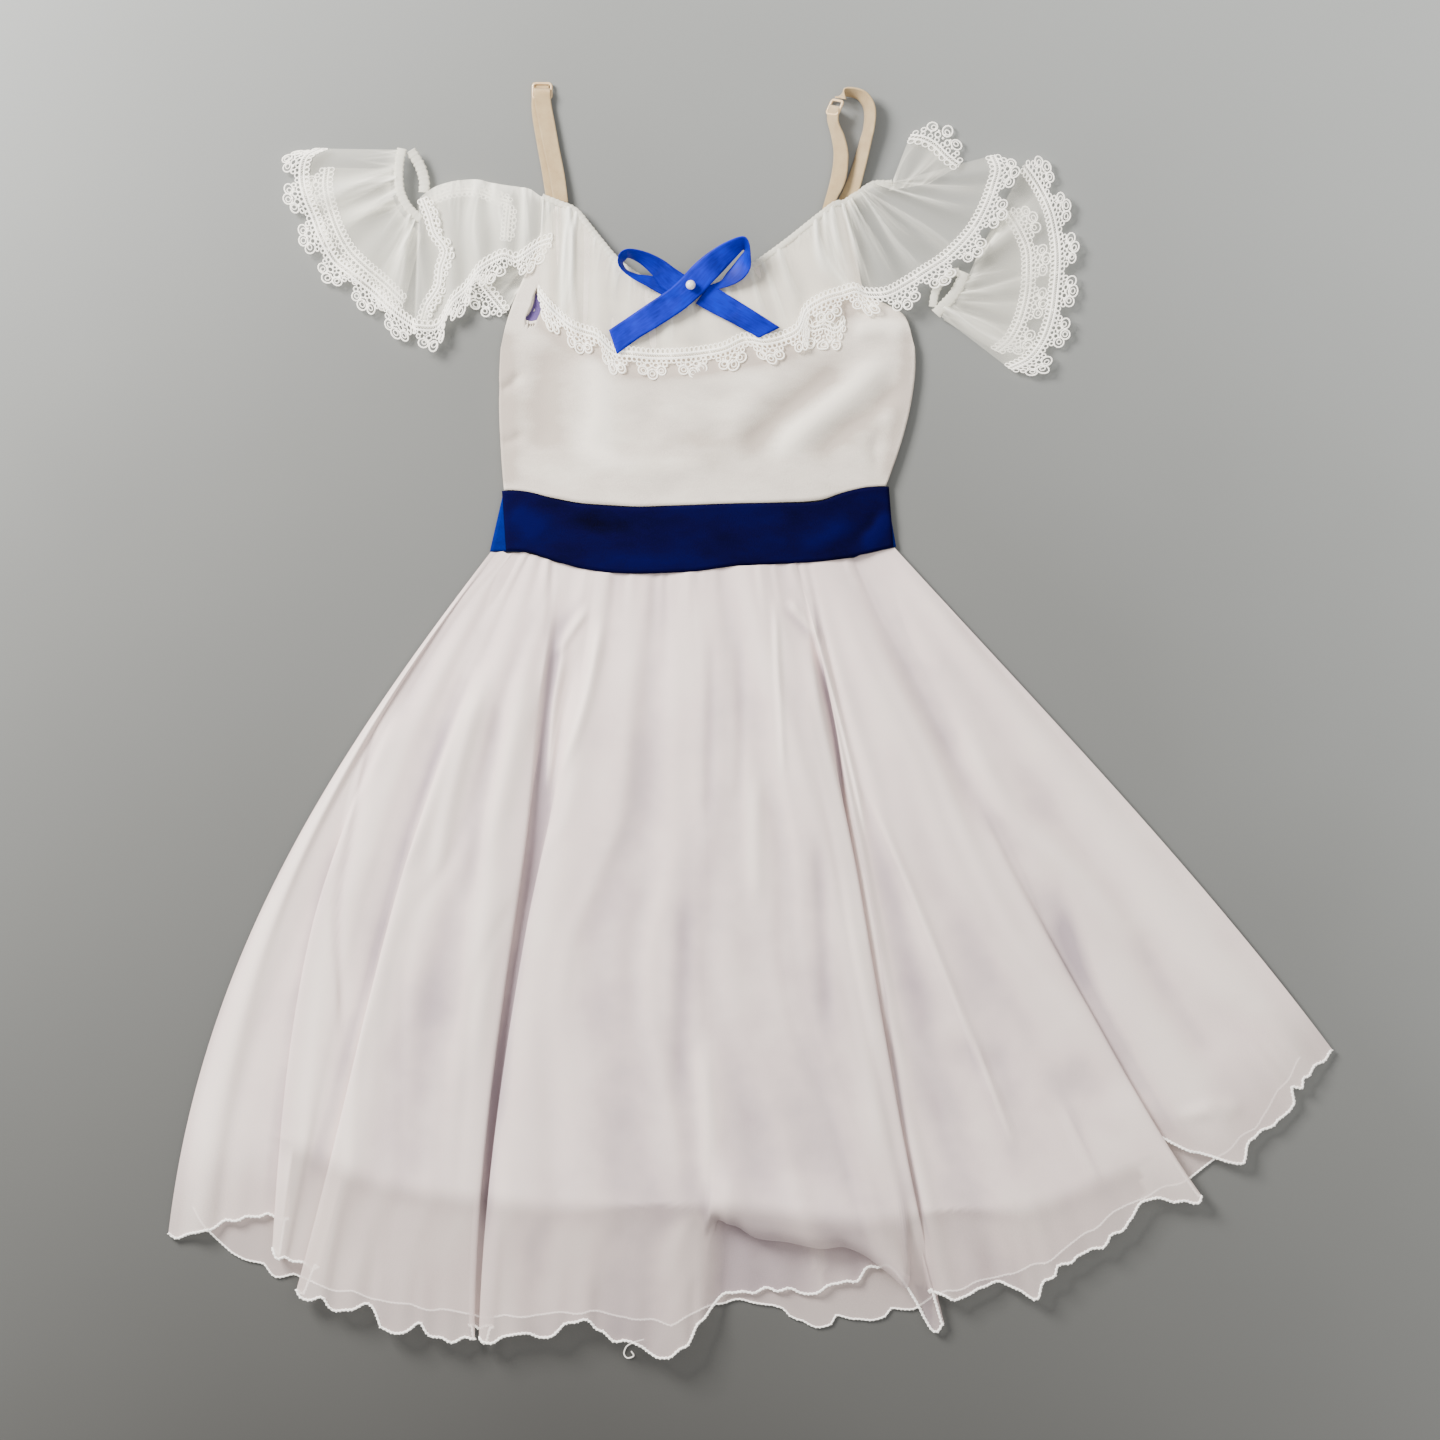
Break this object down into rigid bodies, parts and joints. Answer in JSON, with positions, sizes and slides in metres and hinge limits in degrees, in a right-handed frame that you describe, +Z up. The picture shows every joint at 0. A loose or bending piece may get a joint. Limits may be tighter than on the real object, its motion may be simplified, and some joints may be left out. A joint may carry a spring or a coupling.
{
  "type": "ballet dress",
  "caption": "Child's ballet dress laid flat: velvet bodice, royal-blue waistband, long chiffon skirt, off-shoulder ruffles edged in guipure lace, satin bow and nude slider straps",
  "frame": {"origin": "bottom centre of the dress's box, on the surface that it lies on", "axes": "+Z up out of the surface, +Y from the hem toward the straps, +X to the right as the front is seen from above"},
  "size_m": [0.721, 0.7876, 0.0231],
  "materials": {
    "bodice": "ivory stretch velvet, short soft pile",
    "waistband": "royal-blue velvet, deep pile with a bright edge sheen",
    "skirt": "white chiffon, sheer and matt, merrowed hem",
    "lining": "white lining chiffon, plain hem",
    "ruffle": "off-white sheer chiffon, gathered",
    "lace": "off-white guipure lace edging",
    "webbing": "nude elastic webbing with a soft satin face",
    "slider": "nude enamelled slider, glossy",
    "satin": "royal-blue satin ribbon, strong sheen",
    "pearl": "white imitation pearl, glossy"
  },
  "bodies": {
    "root": {"bodice_back": "bodice", "bodice_front": "bodice", "bow_back_loop": "satin", "bow_front_strand": "satin", "bow_pearl": "pearl", "bow_right_tail": "satin", "casing_left_back": "ruffle", "casing_left_front": "ruffle", "casing_right_back": "ruffle", "casing_right_front": "ruffle", "lace_left_back": "lace", "lace_left_bell": "lace", "lace_left_bell_back": "lace", "lace_left_bridge": "lace", "lace_neck": "lace", "lace_neck_flap": "lace", "lace_right_back": "lace", "lace_right_bell": "lace", "lace_right_bell_back": "lace", "lace_right_fan": "lace", "ruffle_left_back": "ruffle", "ruffle_left_bell": "ruffle", "ruffle_left_bell_back": "ruffle", "ruffle_left_bridge": "ruffle", "ruffle_neck": "ruffle", "ruffle_neck_flap": "ruffle", "ruffle_right_back": "ruffle", "ruffle_right_bell": "ruffle", "ruffle_right_bell_back": "ruffle", "ruffle_right_fan": "ruffle", "skirt_back": "skirt", "skirt_front": "skirt", "skirt_lining": "lining", "slider_left": "slider", "slider_right": "slider", "strap_left_back": "webbing", "strap_left_front": "webbing", "strap_right_back": "webbing", "strap_right_front": "webbing", "waistband_back": "waistband", "waistband_front": "waistband"}
  },
  "joints": []
}
